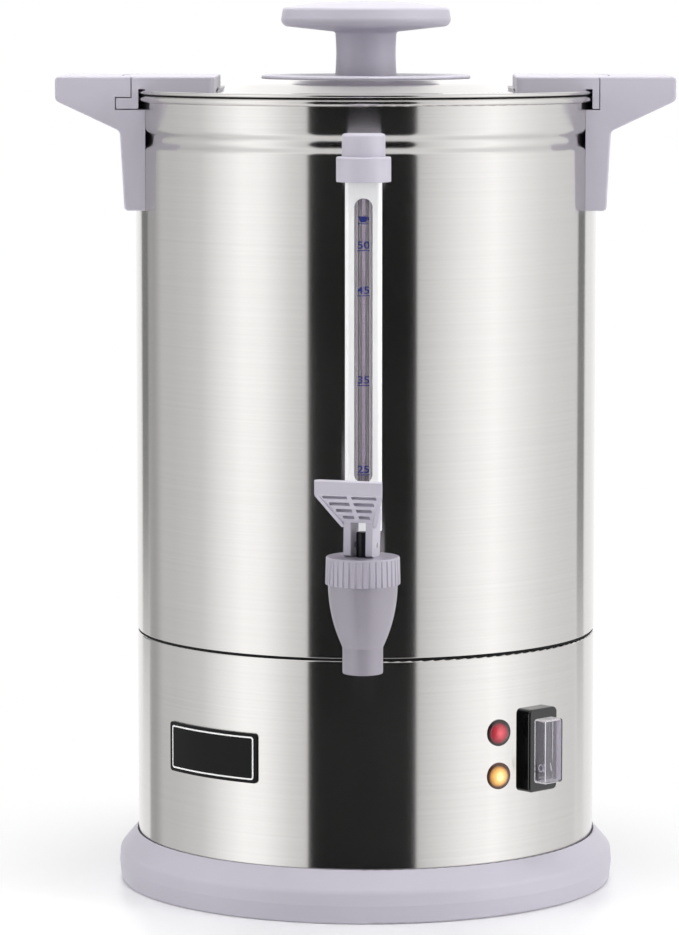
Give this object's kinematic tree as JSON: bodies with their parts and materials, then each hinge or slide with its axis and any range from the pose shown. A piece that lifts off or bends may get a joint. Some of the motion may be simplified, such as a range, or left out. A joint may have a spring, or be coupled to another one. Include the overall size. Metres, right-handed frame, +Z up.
{
  "type": "coffee urn",
  "caption": "Steel coffee urn with a twist-lock lid, side handles, a water gauge, a lever tap, a rocker switch and a percolator inside.",
  "frame": {"origin": "on the urn's axis, in the plane that it stands on", "axes": "+Z up, -Y towards the tap at the front, +X to the right seen from the front"},
  "size_m": [0.2916, 0.3018, 0.4224],
  "materials": {
    "brushed_steel": "vertical brushed, near mirror",
    "lilac_plastic": "satin moulded",
    "bright_aluminium": "bright drawn",
    "gauge_glass": "clear drawn tube",
    "silicone": "smooth matt",
    "clear_silicone": "smooth satin",
    "screw_steel": "plain bright",
    "black_plastic": "gloss moulded",
    "clear_cover": "clear, glossy",
    "red_lens": "clear coloured lens",
    "amber_lens": "clear coloured lens, lit",
    "badge_black": "gloss enamel with a white line",
    "zinc_steel": "zinc plated",
    "heater_aluminium": "cast, matt",
    "brass": "plain",
    "ceramic_white": "matt",
    "spring_steel": "plain drawn wire"
  },
  "bodies": {
    "root": {"tank": "brushed_steel", "seam_gasket": "silicone", "base_shell": "brushed_steel", "base_ring": "lilac_plastic", "bottom_plate": "zinc_steel", "base_screws": "screw_steel", "base_nuts": "zinc_steel", "handle_right": "lilac_plastic", "handle_left": "lilac_plastic", "handle_screws": "screw_steel", "gauge_shield": "bright_aluminium", "gauge_glass": "gauge_glass", "gauge_cap": "lilac_plastic", "gauge_seals": "clear_silicone", "gauge_block": "lilac_plastic", "tap_shank": "screw_steel", "shank_washers": "clear_silicone", "shank_nut": "screw_steel", "tap_body": "lilac_plastic", "tap_collar": "lilac_plastic", "switch_housing": "black_plastic", "switch_cover": "clear_cover", "indicator_red": "red_lens", "indicator_amber": "amber_lens", "indicator_nuts": "black_plastic", "badge_plate": "badge_black", "cord_gland": "black_plastic", "gland_nut": "black_plastic", "main_heater": "heater_aluminium", "heater_clamp": "zinc_steel", "heater_studs": "zinc_steel", "heater_nuts": "zinc_steel", "keep_warm_heater": "heater_aluminium", "thermostat": "ceramic_white", "thermal_cutout": "ceramic_white", "terminal_block": "ceramic_white", "earth_stud": "brass"},
    "lid_carrier": {"lid_seal": "silicone"},
    "lid": {"lid_shell": "brushed_steel", "lid_ear_right": "lilac_plastic", "lid_ear_left": "lilac_plastic", "ear_screws": "screw_steel", "knob": "lilac_plastic", "knob_flange": "lilac_plastic", "knob_screw": "screw_steel"},
    "stem_guide": {"stem_bush": "black_plastic"},
    "stem": {"tap_stem": "black_plastic", "seat_cup": "clear_silicone", "tap_spring": "spring_steel"},
    "lever": {"lever": "lilac_plastic", "lever_pin": "screw_steel"},
    "rocker": {"switch_rocker": "black_plastic"},
    "percolator": {"pump_tube": "brushed_steel", "pump_foot": "brushed_steel", "filter_basket": "brushed_steel", "basket_lid": "brushed_steel"},
    "valve": {"pump_valve": "screw_steel"}
  },
  "joints": [
    {"name": "lid_lift", "type": "slide", "parent": "root", "child": "lid_carrier", "axis": [0, 0, 1], "range_m": [0, 0.15]},
    {"name": "lid_turn", "type": "hinge", "parent": "lid_carrier", "child": "lid", "pos_m": [0, 0, 0.3797], "axis": [0, 0, 1], "range_deg": [0, 25]},
    {"name": "lever_turn", "type": "hinge", "parent": "root", "child": "stem_guide", "pos_m": [0, -0.153, 0.1708], "axis": [0, 0, 1], "range_deg": [-72, 108]},
    {"name": "stem_lift", "type": "slide", "parent": "stem_guide", "child": "stem", "axis": [0, 0, 1], "range_m": [0, 0.00209], "stiffness_N_per_m": 250, "springref_m": -0.004, "deforming": ["tap_spring", "seat_cup"]},
    {"name": "lever_tilt", "type": "hinge", "parent": "stem", "child": "lever", "pos_m": [0, -0.153, 0.1806], "axis": [0.9511, -0.309, 0], "range_deg": [0, 31]},
    {"name": "rocker_tilt", "type": "hinge", "parent": "root", "child": "rocker", "pos_m": [0.08167, -0.08167, 0.0758], "axis": [0.7071, 0.7071, 0], "range_deg": [0, 10]},
    {"name": "basket_lift", "type": "slide", "parent": "root", "child": "percolator", "axis": [0, 0, 1], "range_m": [0, 0.004]},
    {"name": "valve_lift", "type": "slide", "parent": "percolator", "child": "valve", "axis": [0, 0, 1], "range_m": [0, 0.002]}
  ],
  "couplings": [
    {"joint": "lever_tilt", "follows": "stem_lift", "rad_per_m": 250}
  ]
}
